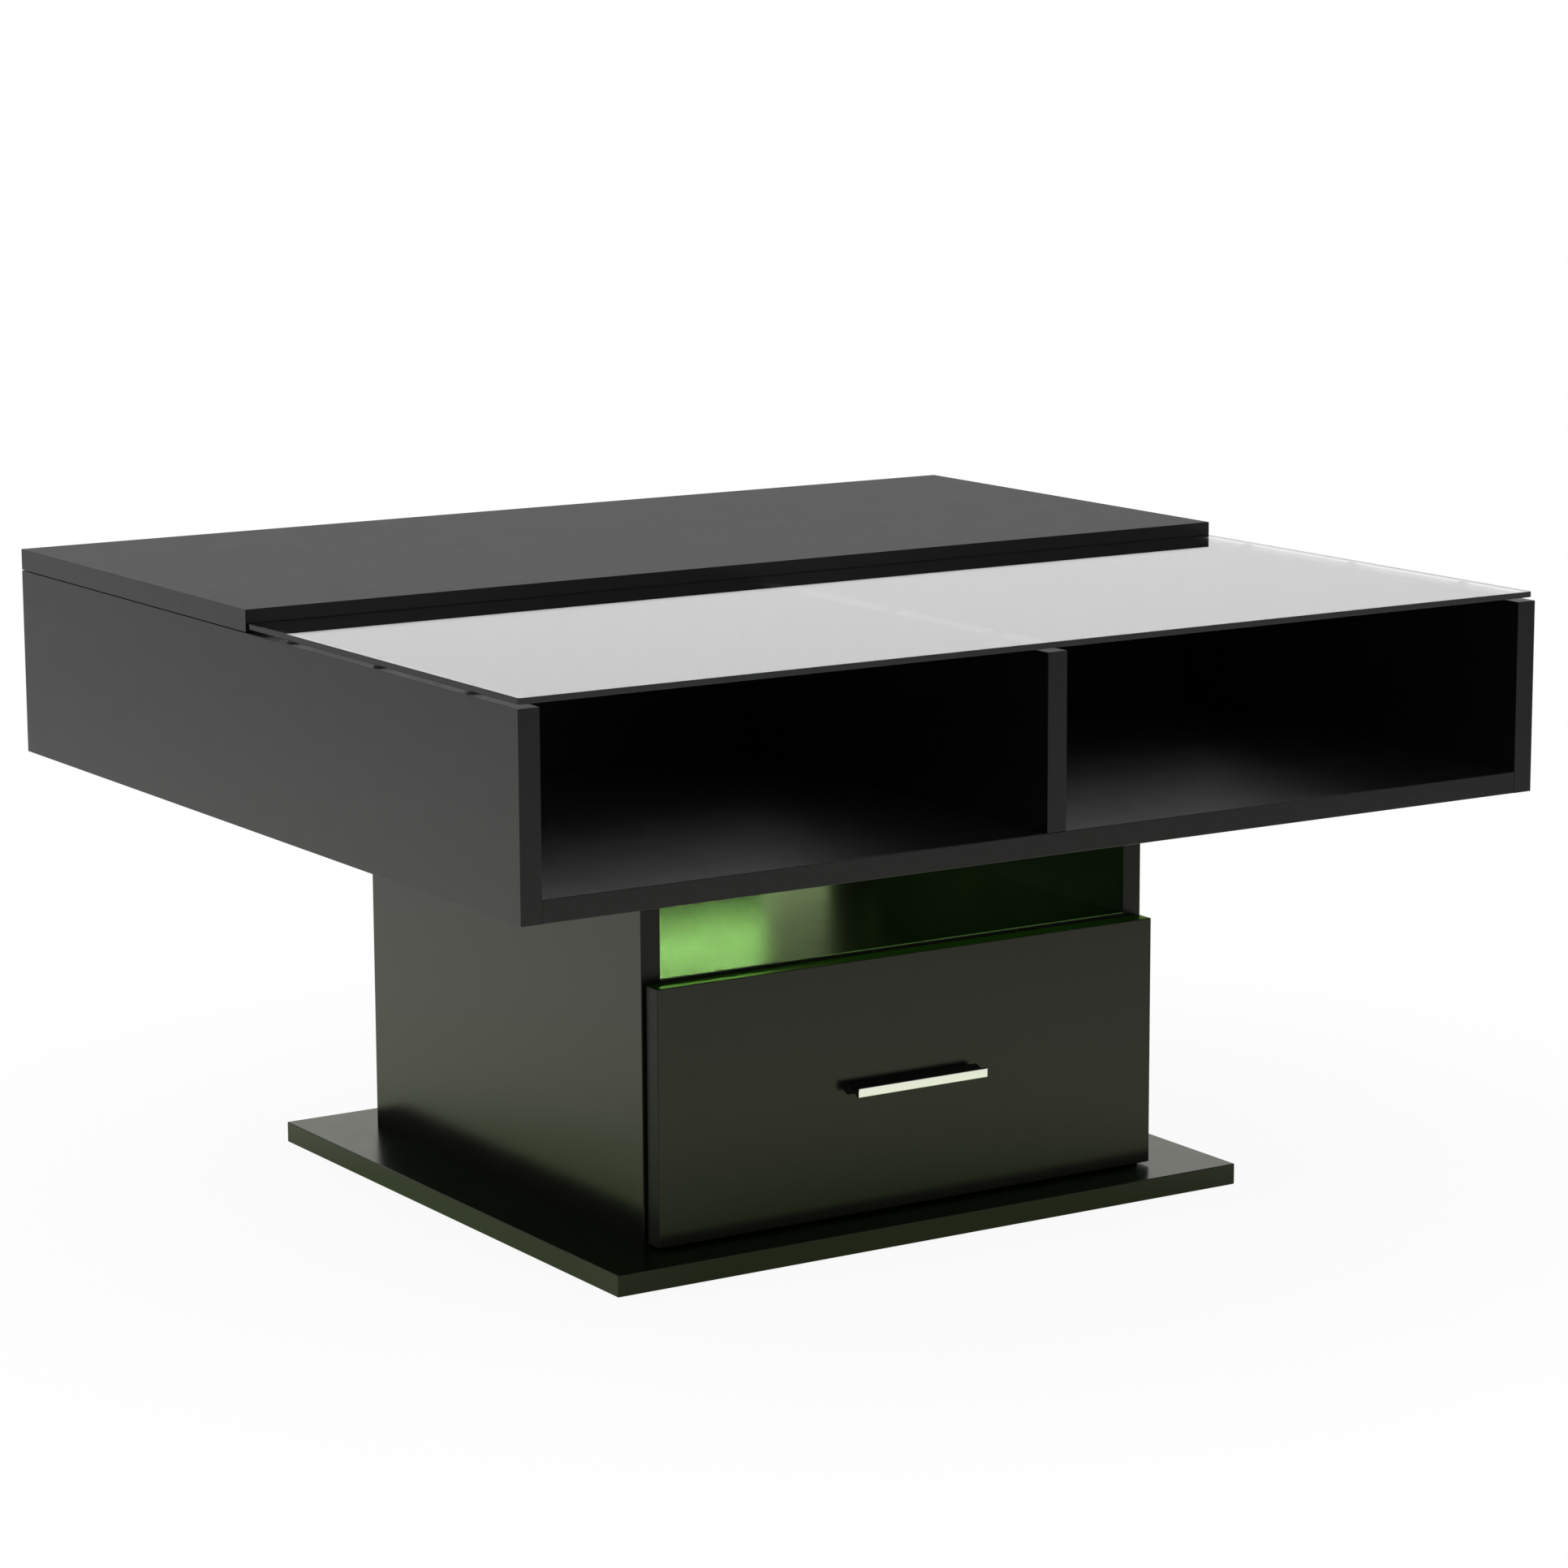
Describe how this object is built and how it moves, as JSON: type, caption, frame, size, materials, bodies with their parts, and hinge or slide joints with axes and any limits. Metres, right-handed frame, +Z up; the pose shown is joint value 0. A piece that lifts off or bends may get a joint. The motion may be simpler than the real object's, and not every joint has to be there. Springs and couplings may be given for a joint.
{
  "type": "display coffee table",
  "caption": "Low black display table with open compartments under a clear glass pane, a lift-up rear lid, and a pedestal with a lit niche and a drawer.",
  "frame": {"origin": "on the floor, under the centre of the cabinet's outline", "axes": "+X along the table's width to the right of someone facing the drawer, +Y from the drawer side to the lid side, +Z up"},
  "size_m": [0.8, 0.73, 0.4406],
  "materials": {
    "black_laminate": "satin black laminate on particle board",
    "black_hardboard": "painted hardboard",
    "clear_glass": "polished clear glass with ground edges",
    "clear_bumper": "clear soft plastic",
    "black_felt": "felt",
    "black_plastic": "moulded",
    "white_strip": "flexible circuit strip",
    "lamp_lens": "lit green lens",
    "polished_aluminium": "polished face, black sides",
    "beech": "fluted hardwood",
    "zinc_steel": "zinc plated",
    "runner_steel": "zinc plated",
    "black_steel": "black powder coat"
  },
  "bodies": {
    "carcass": {"base_plate": "black_laminate", "pedestal_left_side": "black_laminate", "pedestal_right_side": "black_laminate", "pedestal_back": "black_laminate", "niche_floor": "black_laminate", "cabinet_bottom": "black_laminate", "cabinet_left_side": "black_laminate", "cabinet_right_side": "black_laminate", "cabinet_partition": "black_laminate", "cabinet_back": "black_laminate", "front_divider": "black_laminate", "base_glides": "black_plastic", "base_screws": "zinc_steel", "dowels": "beech", "cam_locks": "zinc_steel", "cam_bolts": "zinc_steel", "glass_top": "clear_glass", "glass_bumpers": "clear_bumper", "lid_pads": "black_felt", "led_strip": "white_strip", "led_chips": "lamp_lens", "led_connector": "black_plastic", "lift_base_pins": "zinc_steel", "lift_bracket_left": "black_steel", "lift_bracket_right": "black_steel", "runner_outer_left": "runner_steel", "runner_outer_right": "runner_steel"},
    "drawer": {"drawer_front": "black_laminate", "drawer_left_side": "black_laminate", "drawer_right_side": "black_laminate", "drawer_back": "black_laminate", "drawer_bottom": "black_hardboard", "drawer_dowels": "beech", "drawer_cam_locks": "zinc_steel", "drawer_cam_bolts": "zinc_steel", "drawer_handle": "polished_aluminium", "handle_screws": "zinc_steel", "runner_inner_left": "runner_steel", "runner_inner_right": "runner_steel"},
    "runner_middles": {"runner_middle_left": "runner_steel", "runner_middle_right": "runner_steel", "ball_cages": "runner_steel"},
    "lift_arms": {"lift_arm_left": "black_steel", "lift_arm_right": "black_steel", "lift_cross_tube": "black_steel"},
    "lift_links": {"lift_link_left": "black_steel", "lift_link_right": "black_steel"},
    "lid": {"lid_panel": "black_laminate", "lid_pins": "zinc_steel", "lid_bracket_left": "black_steel", "lid_bracket_right": "black_steel"}
  },
  "joints": [
    {"name": "drawer_slide", "type": "slide", "parent": "carcass", "child": "drawer", "axis": [0, -1, 0], "range_m": [0, 0.3]},
    {"name": "runner_slide", "type": "slide", "parent": "carcass", "child": "runner_middles", "axis": [0, -1, 0], "range_m": [0, 0.15]},
    {"name": "arm_swing", "type": "hinge", "parent": "carcass", "child": "lift_arms", "pos_m": [0, 0.262, 0.327], "axis": [-1, 0, 0], "range_deg": [0, 90]},
    {"name": "link_swing", "type": "hinge", "parent": "carcass", "child": "lift_links", "pos_m": [0, 0.318, 0.3803], "axis": [-1, 0, 0], "range_deg": [0, 90]},
    {"name": "lid_level", "type": "hinge", "parent": "lift_arms", "child": "lid", "pos_m": [0, 0.082, 0.3523], "axis": [-1, 0, 0], "range_deg": [-90, 0]}
  ],
  "couplings": [
    {"joint": "runner_slide", "follows": "drawer_slide", "ratio": 0.5},
    {"joint": "link_swing", "follows": "arm_swing", "ratio": 1},
    {"joint": "lid_level", "follows": "arm_swing", "ratio": -1}
  ]
}
